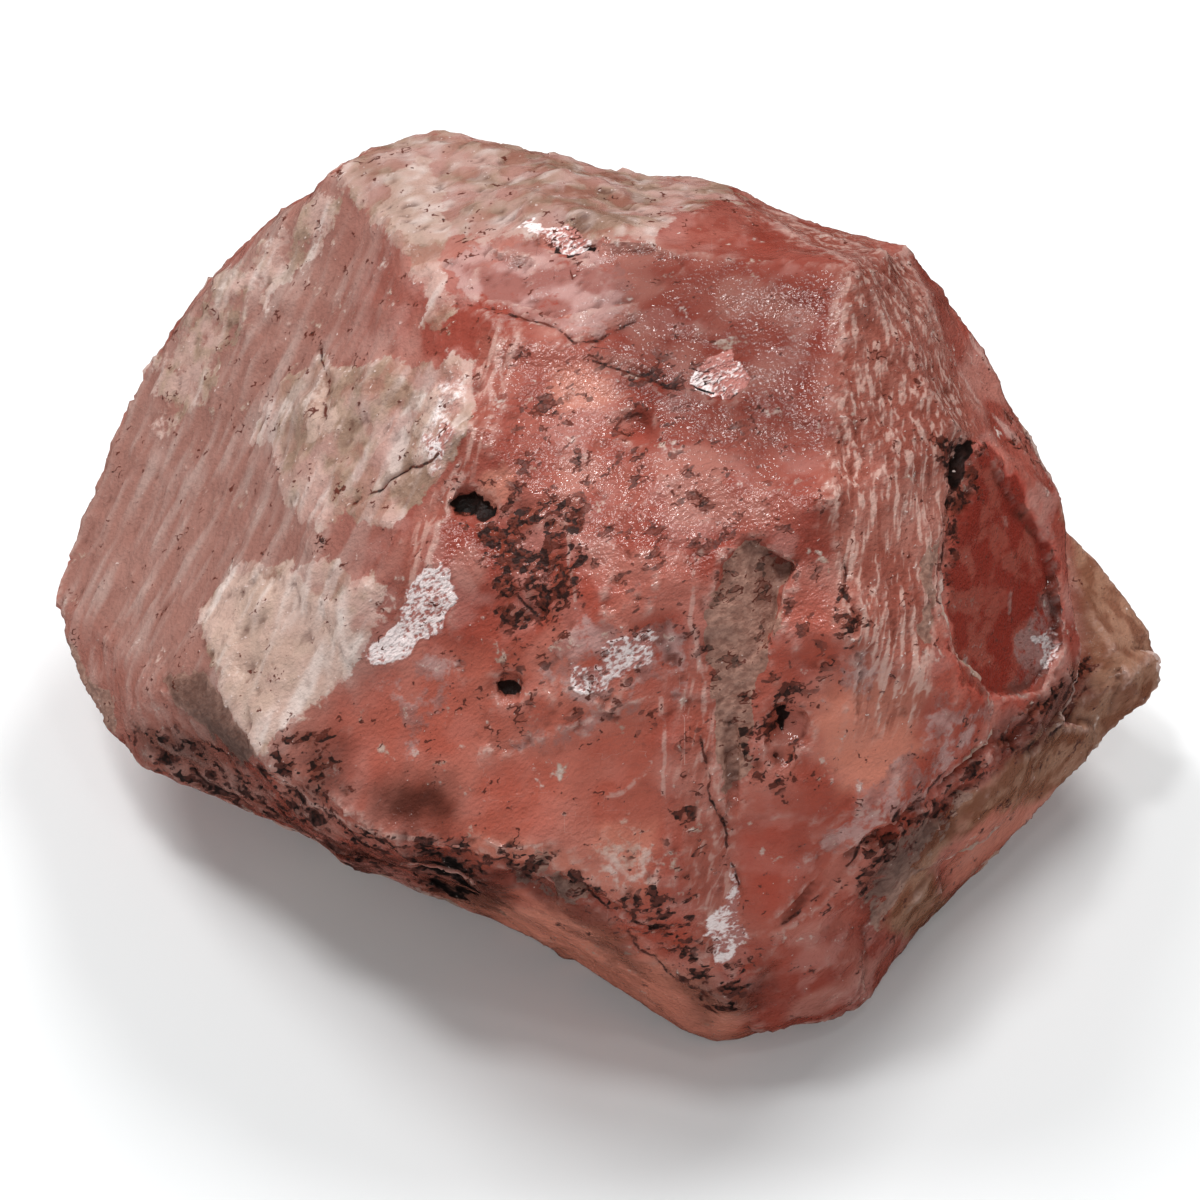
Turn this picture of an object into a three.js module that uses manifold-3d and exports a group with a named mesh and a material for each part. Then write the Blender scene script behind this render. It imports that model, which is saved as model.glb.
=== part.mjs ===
// Rough morganite (pink beryl) specimen: one broken lump of crystal, lying on its flat side.
// Millimetres, +Z up. The origin is the middle of the bounding box, on the resting face.
import * as THREE from "three";
import { ConvexGeometry } from "three/addons/geometries/ConvexGeometry.js";
import { mergeVertices } from "three/addons/utils/BufferGeometryUtils.js";
import { TessellateModifier } from "three/addons/modifiers/TessellateModifier.js";
import Module from "manifold-3d";

const wasm = await Module();
wasm.setup();

// How far the broad face leans back from the floor, in degrees, and the height of the resting face.
const LEAN = 50;
const FLOOR = -18;

const lean = THREE.MathUtils.degToRad(LEAN);

// A point of the stone from its own axes: across the broad face, up along it, and out of it.
function at([across, up, out]) {
  return new THREE.Vector3(
    across,
    up * Math.sin(lean) - out * Math.cos(lean),
    up * Math.cos(lean) + out * Math.sin(lean),
  );
}

function solidOf(geometry) {
  const bare = new THREE.BufferGeometry();
  const flat = geometry.index ? geometry.toNonIndexed() : geometry;
  bare.setAttribute("position", flat.getAttribute("position").clone());
  const merged = mergeVertices(bare, 1e-4);
  return new wasm.Manifold(
    new wasm.Mesh({
      numProp: 3,
      vertProperties: merged.getAttribute("position").array,
      triVerts: new Uint32Array(merged.index.array),
    }),
  );
}

function geometryOf(solid) {
  const mesh = solid.getMesh();
  const geometry = new THREE.BufferGeometry();
  geometry.setAttribute("position", new THREE.BufferAttribute(new Float32Array(mesh.vertProperties), 3));
  geometry.setIndex(new THREE.BufferAttribute(new Uint32Array(mesh.triVerts), 1));
  return geometry;
}

function hull(corners) {
  return solidOf(new ConvexGeometry(corners.map(at)));
}

// Repeatable numbers from 0 to 1, so the broken surface is the same each time.
let seed = 20;
function chance() {
  seed = (seed * 1103515245 + 12345) % 2147483648;
  return seed / 2147483648;
}

function between(low, high) {
  return low + (high - low) * chance();
}

// The main block: its outline seen square to the broad face, then the ridges of that face.
const outline = [
  [-17, 27, -5],
  [-15, 28.7, -7],
  [-12, 30.2, -9],
  [-8.4, 29.9, -9],
  [-2, 28.2, -8],
  [6, 27.1, -6],
  [10.4, 25, -3],
  [15.7, 23.2, 0],
  [19, 22, 2],
  [21.6, 19.4, 1],
  [24.4, 14.5, 0],
  [27.9, 8.8, -1],
  [29.2, 5.7, -2],
  [30, -3.1, 0],
  [27.4, -13.5, -5],
  [24.3, -16.5, -3],
  [18.1, -22.6, -1],
  [16.6, -25, 0],
  [13.4, -26.7, 0],
  [9.1, -27.6, 0],
  [7.2, -27.6, 0],
  [3.2, -25.6, -2],
  [-2.5, -22.8, 0],
  [-9.3, -18.8, 2],
  [-15, -16.1, 1],
  [-19.4, -14.7, 0],
  [-25, -12.3, -2],
  [-28.9, -10.2, -4],
  [-32.3, -8, -6],
  [-34.4, -5, -8],
  [-35.4, 0, -10],
  [-34.4, 5.2, -12],
  [-32.2, 10.5, -13],
  [-29.9, 15.4, -13],
  [-27.2, 19, -13],
  [-24, 22.7, -12],
  [-20.5, 25.4, -9],
];
const ridges = [
  [-12.4, 22.4, 3],
  [2.5, 21.8, 8],
  [15.1, 19.6, 11],
  [-6, 16.3, 11],
  [-7.7, 10.1, 14],
  [-10, 2.3, 15],
  [-13.5, -3.5, 13],
  [-20.2, -9.5, 9],
  [-27.1, -5.6, 3],
  [-13.1, -13.8, 12],
  [-3.5, -14.7, 15],
  [2.3, -17.6, 14],
  [8.2, -24.3, 7],
  [13.3, 5.8, 18],
  [15, -2.3, 18],
  [13.9, -10.5, 16],
  [2.3, 0, 18.5],
  [20.7, 15.8, 6],
  [21.7, 9.6, 10],
  [20.2, 2.4, 13],
  [20.9, -6, 12],
  [28.6, 6.2, 1],
  [27.1, -7.4, 4],
  [17.9, -13.7, 12],
  [11.3, -19.4, 11],
];
// The side away from the broad face.
const back = [
  [-22, 12, -28],
  [-8, 18, -30],
  [8, 20, -26],
  [20, 12, -22],
  [26, 0, -22],
];
// The corners of the resting face, on the floor.
const footprint = [
  [8, -21],
  [15, -18],
  [24, -8],
  [26, 4],
  [18, 16],
  [2, 22],
  [-14, 18],
  [-24, 8],
  [-19, -3],
  [-8, -9],
];
const block = solidOf(
  new ConvexGeometry([
    ...[...outline, ...ridges, ...back].map(at),
    ...footprint.map(([x, y]) => new THREE.Vector3(x, y, FLOOR)),
  ]),
);

// The clearer buff rim that stands out at the right, with a lump at its tip.
const rim = hull([
  [28.7, 6.4, -7],
  [32.2, 2.7, -9],
  [35.6, -2.2, -10],
  [36.3, -5, -10],
  [35.2, -7.2, -9],
  [32.8, -8.4, -8],
  [31, -10.4, -7],
  [32.6, -3, -5],
  [34, -5, -6],
  [29.8, -6.6, -3],
  [24, 2, -6],
  [24, -10, -6],
  [28.5, -1, -17],
  [27, -8, -14],
]);
const rimLump = hull([
  [33, -3.2, -6],
  [35.8, -3.6, -8],
  [36.4, -5.2, -9],
  [35.6, -7, -8.5],
  [33, -7.8, -7],
  [33.4, -5, -4.4],
  [31, -4, -12],
  [33, -6, -12],
]);
// The tan ledge and its two lumps below the right-hand edge.
const tanLedge = hull([
  [26.4, -9.2, 3],
  [27.6, -11.4, 0],
  [23, -15.4, 2],
  [19.6, -16.6, 6],
  [18.6, -15.2, 9],
  [22, -12, 8],
  [22, -12, -6],
]);
const tanLump = hull([
  [18.6, -17.6, 3],
  [21, -16.8, 3],
  [22, -18.4, 0],
  [21, -19.8, -1],
  [18.4, -20.4, 0],
  [17.6, -19, 3],
  [19.6, -18.6, 4],
  [17, -17, -6],
]);
// The red strip under the tan ledge, down to the floor.
const redStrip = hull([
  [30.9, -10.2, -6],
  [32.4, -8.6, -8],
  [27.5, -13.7, -5],
  [24.4, -16.5, -4],
  [29, -7.4, 1],
  [24, -13.4, 3],
  [25, -8, -14],
]);
// The toe at the bottom, past the crack that runs up to the right.
const toe = hull([
  [9.8, -20.6, 10],
  [12.4, -19.4, 9.6],
  [15.4, -18.6, 8],
  [16.4, -21.6, 5],
  [16.4, -24.4, 2],
  [13.8, -26.2, 1.6],
  [9.6, -27, 2],
  [9, -24.4, 6],
  [12.6, -22.6, 8],
  [12, -20, -4],
]);

const whole = block.add(rim).add(rimLump).add(tanLedge).add(tanLump).add(redStrip).add(toe);

// Where a line that comes in along a direction meets a surface.
const FAR = 150;
function touch(surface, target, towards) {
  const aim = at(towards).normalize();
  const start = at(target).addScaledVector(aim, FAR);
  const hit = new THREE.Raycaster(start, aim.clone().negate()).intersectObject(surface)[0];
  return { point: hit.point, normal: hit.face.normal.clone() };
}

const plain = new THREE.MeshStandardMaterial();
const FRONT = [0, 0, 1];
const MIDDLE = [-2, 0, -6];

// Shell-shaped breaks. Each hollows the surface round its middle, and a crest stands where two meet.
// Those of the broad face are placed by hand: across, up, radius of the hollow, depth.
const unbroken = new THREE.Mesh(geometryOf(whole), plain);
const faceBreaks = [
  [-2.4, -11.2, 22, 1],
  [-11.8, -7.7, 26, 1],
  [1.9, -12.6, 12, 0.7],
  [-4.7, 3, 40, 0.7],
  [6, 18, 50, 0.8],
  [10.2, 10.7, 30, 0.7],
  [-3.6, 18.6, 20, 0.6],
  [-0.6, 10, 24, 0.9],
  [9.7, -15.9, 12, 0.9],
  [17, -8, 14, 0.6],
  [-26, 6, 90, 1.2],
  [-29, -1, 30, 0.8],
  [-18, 18, 50, 1],
  [-13.5, 9, 26, 0.6],
  [-19, -2.4, 24, 0.6],
  [-8, 26.4, 20, 0.7],
  [2, 24.8, 16, 0.6],
  [12.6, 22, 20, 0.6],
  [23, 12.4, 20, 0.8],
  [20.4, -12, 14, 0.8],
  [5.6, -21, 10, 0.8],
  [12, -23, 9, 0.7],
  [14, 14, 40, 0.5],
  [17.4, 2, 30, 0.5],
  [5.4, -3, 30, 0.6],
  [8, 3, 30, 0.5],
];
// Smaller ones that nick the ridges between its faces.
const ridgeBreaks = [
  [-7.2, 13, 9, 0.8],
  [-8.8, 6, 8, 0.7],
  [-12, -1.5, 8, 0.7],
  [-16.5, -6, 8, 0.8],
  [14, 9, 9, 0.7],
  [13.6, 2, 8, 0.6],
  [15, -5, 8, 0.7],
  [14.6, -9.4, 8, 0.7],
  [12.6, -15.6, 8, 0.8],
  [21.4, 12.8, 8, 0.7],
  [20.9, 6, 8, 0.7],
  [-17, -11.6, 8, 0.7],
  [-8, -14.4, 8, 0.7],
  [0, -16.4, 8, 0.7],
  [25, -6.8, 8, 0.7],
  [18.2, 21.2, 8, 0.6],
  [9, 21, 9, 0.7],
  [-2, 21.8, 8, 0.6],
  [-14.6, 24.6, 8, 0.7],
];
const bowls = [...faceBreaks, ...ridgeBreaks].map(([across, up, radius, depth]) => ({
  middle: touch(unbroken, [across, up, 0], FRONT).point,
  radius,
  depth,
}));
// Two on the outline itself: at its lower left and along its top.
bowls.push(
  { middle: touch(unbroken, [-6, 0, 0], [0, -1, 0]).point, radius: 60, depth: 1.2 },
  { middle: touch(unbroken, [1.5, 0, -7], [0, 1, 0]).point, radius: 30, depth: 0.8 },
);
// The others are spread over the sides, the back and the gaps, no two closer than a set spacing.
const TRIES = 500;
const SPACING = 6.5;
for (let i = 0; i < TRIES; i++) {
  const towards = [between(-1, 1), between(-1, 1), between(-1, 1)];
  const { point } = touch(unbroken, MIDDLE, towards);
  if (bowls.every(({ middle }) => middle.distanceTo(point) > SPACING))
    bowls.push({ middle: point, radius: between(10, 36), depth: between(0.3, 0.9) });
}

// The broken surface: every corner of a finer mesh sinks to the deepest hollow that reaches it.
// The resting face stays flat.
const EDGE = 3;
const SPLITS = 14;
const SWELL = 0.25;
const FLAT = 0.01;
function broken(solid) {
  const fine = new TessellateModifier(EDGE, SPLITS).modify(geometryOf(solid));
  fine.deleteAttribute("normal");
  const merged = mergeVertices(fine, 1e-4);
  merged.computeVertexNormals();
  const place = merged.getAttribute("position");
  const facing = merged.getAttribute("normal");
  const corner = new THREE.Vector3();
  const out = new THREE.Vector3();
  for (let i = 0; i < place.count; i++) {
    corner.fromBufferAttribute(place, i);
    out.fromBufferAttribute(facing, i);
    let sink = 0;
    for (const { middle, radius, depth } of corner.z > FLOOR + FLAT ? bowls : []) {
      const hollow = corner.distanceToSquared(middle) / (2 * radius) - depth;
      sink = Math.min(sink, hollow);
    }
    corner.addScaledVector(out, sink + SWELL);
    place.setXYZ(i, corner.x, corner.y, corner.z);
  }
  return solidOf(merged);
}

let stone = broken(whole);
const surface = new THREE.Mesh(geometryOf(stone), plain);

// A flake split off the broad face: its outline, and the sloping floor it leaves. The floor's
// height out of the face is given at one point, with its rise across and up.
const FLAKE_TOP = 40;
function flake({ outline: corners, point, rise }) {
  const shape = new THREE.Shape(corners.map(([across, up]) => new THREE.Vector2(across, up)));
  const slab = new THREE.ExtrudeGeometry(shape, { depth: FLAKE_TOP, bevelEnabled: false });
  const place = slab.getAttribute("position");
  for (let i = 0; i < place.count; i++) {
    const across = place.getX(i);
    const up = place.getY(i);
    const floor = point[2] + rise[0] * (across - point[0]) + rise[1] * (up - point[1]);
    const { x, y, z } = at([across, up, Math.max(place.getZ(i), floor)]);
    place.setXYZ(i, x, y, z);
  }
  return solidOf(slab);
}
const flakes = [
  // The grey-brown scar, deepest along its right edge, and the notch beside it.
  {
    outline: [
      [8.4, 3.9],
      [7.1, 2.3],
      [6.4, 0],
      [6.1, -2.9],
      [6.9, -5.2],
      [9.8, -2.3],
      [10.4, -0.6],
      [10.7, 1.2],
      [9.5, 2.9],
    ],
    point: [6.2, 0, 17.9],
    rise: [-0.22, 0.05],
  },
  {
    outline: [
      [9.5, 2.9],
      [10.6, 0.6],
      [11.4, 2],
    ],
    point: [10, 2, 16.6],
    rise: [0.2, 0],
  },
  // The deep red window, below the step at the edge of the striped band.
  {
    outline: [
      [20.9, 10.4],
      [20.5, 4.8],
      [20.2, 0],
      [20.8, -3],
      [23.6, -5.8],
      [27, -5.6],
      [28.7, -2.8],
      [28.5, 0],
      [27.6, 3.7],
      [24.9, 6.6],
      [23.1, 9.8],
    ],
    point: [20.5, 4, 11.1],
    rise: [-1.26, 0],
  },
  // Under the pale skin of the top.
  {
    outline: [
      [-9.6, 22],
      [-9.8, 20.4],
      [-7.2, 18.1],
      [-2.4, 16.9],
      [2.4, 17.9],
      [5.4, 20.4],
      [3.3, 21.6],
    ],
    point: [3.3, 21.6, 7.3],
    rise: [0.16, -0.8],
  },
];

// A V-shaped crack between two points of the broad face.
function crack([from, to, width, deep]) {
  const ends = [from, to].map(([across, up]) => touch(surface, [across, up, 0], FRONT));
  const along = ends[1].point.clone().sub(ends[0].point);
  const corners = [];
  for (const { point, normal } of ends) {
    const side = along.clone().cross(normal).normalize();
    const lip = point.clone().addScaledVector(normal, deep);
    corners.push(lip.clone().addScaledVector(side, width));
    corners.push(lip.clone().addScaledVector(side, -width));
  }
  const half = ends[0].point.clone().add(ends[1].point).divideScalar(2);
  const third = along.clone().divideScalar(3);
  const inward = ends[0].normal.clone().add(ends[1].normal).normalize();
  corners.push(half.clone().addScaledVector(inward, -deep).add(third));
  corners.push(half.clone().addScaledVector(inward, -deep).sub(third));
  return solidOf(new ConvexGeometry(corners));
}
// From, to, half the width at the lip, depth.
const cracks = [
  [[19.9, 4.2], [19.5, -2.6], 0.6, 0.8],
  [[10.4, -19.8], [15.7, -14.2], 0.8, 0.9],
  [[15.3, -14.5], [20.4, -11.4], 0.8, 0.9],
  [[20, -11.8], [24.3, -7.6], 0.8, 0.9],
  [[-0.8, 15], [5.4, 12.4], 0.6, 0.4],
  [[-3.7, -15.8], [2.6, -19], 0.8, 0.8],
  [[2, -18.8], [6.2, -22.2], 0.8, 0.8],
  [[-5.4, 21.8], [0, 21.4], 0.5, 0.5],
  [[7.6, -6], [7.8, -13], 0.6, 0.6],
  [[-20, -9.6], [-13.6, -14], 0.5, 0.5],
];

// A round pit in the broad face: across, up, radius, depth.
function pit([across, up, radius, depth]) {
  const { point, normal } = touch(surface, [across, up, 0], FRONT);
  const ball = new THREE.IcosahedronGeometry(radius, 1);
  const middle = point.clone().addScaledVector(normal, radius - depth);
  ball.translate(middle.x, middle.y, middle.z);
  return solidOf(ball);
}
const pits = [
  [-7.9, 5.7, 1.1, 0.7],
  [-6.9, 5.5, 0.9, 0.6],
  [-5.2, -5.2, 1.2, 0.7],
  [10.9, -7.4, 1.5, 1.2],
  [10.6, -9, 1, 0.7],
  [21.8, 8.7, 1.2, 0.9],
  [21.4, 5.8, 1, 0.8],
  [2.2, 10.1, 1.7, 0.5],
  [6.6, 13.1, 1.5, 0.5],
  [7.9, 13.3, 1.5, 0.5],
  [-9.6, -16.6, 2.6, 1.2],
  [-4.2, -17, 2.5, 0.9],
  [25.5, -8.2, 1.2, 0.7],
];
for (const taken of [...flakes.map(flake), ...cracks.map(crack), ...pits.map(pit)])
  stone = stone.subtract(taken);

const GROUND = 200;
const ground = new THREE.BoxGeometry(GROUND, GROUND, GROUND);
ground.translate(0, 0, FLOOR - GROUND / 2);
stone = stone.subtract(solidOf(ground));

const geometry = geometryOf(stone);
geometry.computeBoundingBox();
const box = geometry.boundingBox;
const origin = box.getCenter(new THREE.Vector3()).setZ(box.min.z);
geometry.translate(-origin.x, -origin.y, -origin.z);

const material = new THREE.MeshStandardMaterial({ color: 0xb06a5c, roughness: 0.35, metalness: 0 });
const morganite = new THREE.Mesh(geometry, material);
morganite.name = "morganite";

const specimen = new THREE.Group();
specimen.add(morganite);
export default specimen;
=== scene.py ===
"""Rough morganite, a broken lump of pink beryl, on pale paper. Metres, +Z up, the row frame."""

import math

import bmesh
import bpy
import numpy as np
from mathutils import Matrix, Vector, noise
from mathutils.bvhtree import BVHTree


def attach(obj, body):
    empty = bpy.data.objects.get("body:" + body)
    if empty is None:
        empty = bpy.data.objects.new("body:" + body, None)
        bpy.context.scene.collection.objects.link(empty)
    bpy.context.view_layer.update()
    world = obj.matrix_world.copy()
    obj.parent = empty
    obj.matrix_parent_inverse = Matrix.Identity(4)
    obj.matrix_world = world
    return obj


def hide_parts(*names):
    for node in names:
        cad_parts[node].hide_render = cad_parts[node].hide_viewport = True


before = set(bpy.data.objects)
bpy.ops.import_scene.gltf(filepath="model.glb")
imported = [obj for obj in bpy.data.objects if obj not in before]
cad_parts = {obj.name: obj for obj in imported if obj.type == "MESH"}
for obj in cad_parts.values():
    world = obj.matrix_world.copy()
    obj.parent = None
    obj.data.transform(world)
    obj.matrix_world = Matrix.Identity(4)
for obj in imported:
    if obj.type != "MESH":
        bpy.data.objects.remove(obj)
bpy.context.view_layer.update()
stone_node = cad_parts["morganite"]

MM = 0.001

# The camera looks down at the broad face from CAMERA_RISE degrees over the paper.
CAMERA_RISE = math.radians(50)
CAMERA_AWAY = 240.0
FRAME_PIXELS = 1200.0
FOCUS_PIXELS = 16.0 * CAMERA_AWAY
AIM = Vector((-0.00046, -0.00482, 0.018))
SENSOR = 36.0
OUT = Vector((0, -math.cos(CAMERA_RISE), math.sin(CAMERA_RISE)))
UP = Vector((0, math.sin(CAMERA_RISE), math.cos(CAMERA_RISE)))

# The fine mesh: its cell, how much it is smoothed, and the angle above which an edge is sharp.
VOXEL = 0.37 * MM
SMOOTHING = 0.15
SHARP_EDGE = math.radians(42)

# How far each kind of relief stands out of the even surface, in mm. Below 0 it is cut in.
RELIEF = {
    "swell": 0.16,
    "chips": 0.34,
    "small chips": 0.14,
    "terraces": 0.05,
    "flakes": 0.32,
    "small flakes": 0.08,
    "seams": 0.10,
    "cracks": -0.22,
    "pale skins": 0.16,
    "ribs": 0.12,
    "streaks": 0.10,
    "grit": 0.035,
    "black holes": -0.30,
    "grey scar": -0.10,
    "pits": -0.22,
    "worn ridges": -0.16,
}

# Pixels by which the outlines of patches, and the lines of seams and cracks, are made to wander.
OUTLINE_WOBBLE = 9
SEAM_WOBBLE = 4

# Distance in pixels that stands for "no seam or crack near".
FAR = 60.0

# The streaks of the left flank lean this far from upright.
STREAK_LEAN = math.radians(22)

# Below the first height in mm the resting face stays flat. Above the second one the stone is as
# rough as everywhere else.
FLAT_BELOW, ROUGH_ABOVE = 0.15, 1.2


def place_camera():
    """The camera at the photo's angle."""
    data = bpy.data.cameras.new("camera")
    data.sensor_width = SENSOR
    data.lens = SENSOR * FOCUS_PIXELS / FRAME_PIXELS
    data.clip_start = 0.01
    camera = bpy.data.objects.new("camera", data)
    camera.location = AIM + OUT * CAMERA_AWAY * MM
    camera.rotation_euler = (-OUT).to_track_quat("-Z", "Y").to_euler()
    bpy.context.collection.objects.link(camera)
    bpy.context.scene.camera = camera


# ---- the stone's surface ----


def remeshed_copy(node):
    """The CAD solid's own surface as an even, fine mesh."""
    bm = bmesh.new()
    bm.from_mesh(node.data)
    bmesh.ops.remove_doubles(bm, verts=bm.verts, dist=1e-6)
    mesh = bpy.data.meshes.new("stone")
    bm.to_mesh(mesh)
    solid = BVHTree.FromBMesh(bm)
    bm.free()
    rough = bpy.data.objects.new("rough", mesh)
    bpy.context.collection.objects.link(rough)
    even = rough.modifiers.new("even", "REMESH")
    even.mode = "VOXEL"
    even.voxel_size = VOXEL
    deps = bpy.context.evaluated_depsgraph_get()
    fine = bpy.data.meshes.new_from_object(rough.evaluated_get(deps))
    bpy.data.objects.remove(rough)
    bm = bmesh.new()
    bm.from_mesh(fine)
    for vert in bm.verts:
        vert.co = solid.find_nearest(vert.co)[0]
    bmesh.ops.smooth_vert(
        bm, verts=bm.verts, factor=SMOOTHING, use_axis_x=True, use_axis_y=True, use_axis_z=True
    )
    bm.normal_update()
    return bm


def smoothstep(x, low, high):
    t = np.clip((x - low) / (high - low), 0, 1)
    return t * t * (3 - 2 * t)


def inside(px, py, corners):
    """Pixels from the outline of a patch: above 0 inside it, below 0 outside."""
    x = np.array([c[0] for c in corners], float)
    y = np.array([c[1] for c in corners], float)
    nearest = np.full(px.shape, 1e9)
    crossed = np.zeros(px.shape, bool)
    for i in range(len(x)):
        ax, ay, bx, by = x[i], y[i], x[i - 1], y[i - 1]
        dx, dy = bx - ax, by - ay
        along = np.clip(((px - ax) * dx + (py - ay) * dy) / (dx**2 + dy**2), 0, 1)
        nearest = np.minimum(nearest, np.hypot(px - ax - along * dx, py - ay - along * dy))
        if ay != by:
            crossed ^= ((ay > py) != (by > py)) & (px < (bx - ax) * (py - ay) / (by - ay) + ax)
    return np.where(crossed, nearest, -nearest)


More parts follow.
